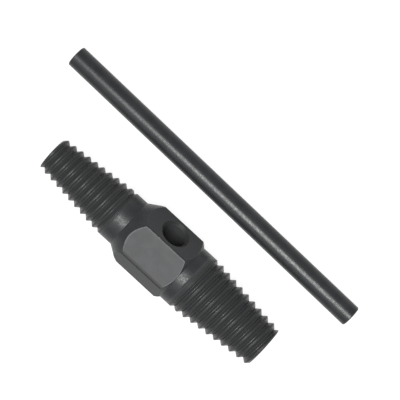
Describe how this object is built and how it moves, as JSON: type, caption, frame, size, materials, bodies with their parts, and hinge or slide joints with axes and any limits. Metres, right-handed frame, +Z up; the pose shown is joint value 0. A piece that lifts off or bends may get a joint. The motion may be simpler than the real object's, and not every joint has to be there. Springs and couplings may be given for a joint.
{
  "type": "screw extractor",
  "caption": "Double-ended pipe screw extractor with left-hand tapered threads, a hexagonal grip with a cross hole, and its loose tommy bar lying beside it.",
  "frame": {"origin": "middle of the hexagon's lower flat, on which the body rests", "axes": "+X along the body towards the large end, +Y towards the loose tommy bar, +Z up"},
  "size_m": [0.132, 0.0467, 0.023],
  "materials": {
    "blackened_steel": "satin black oxide over turned and milled steel",
    "bar_steel": "satin black oxide over drawn round bar"
  },
  "bodies": {
    "root": {"extractor_body": "blackened_steel", "tommy_bar": "bar_steel"}
  },
  "joints": []
}
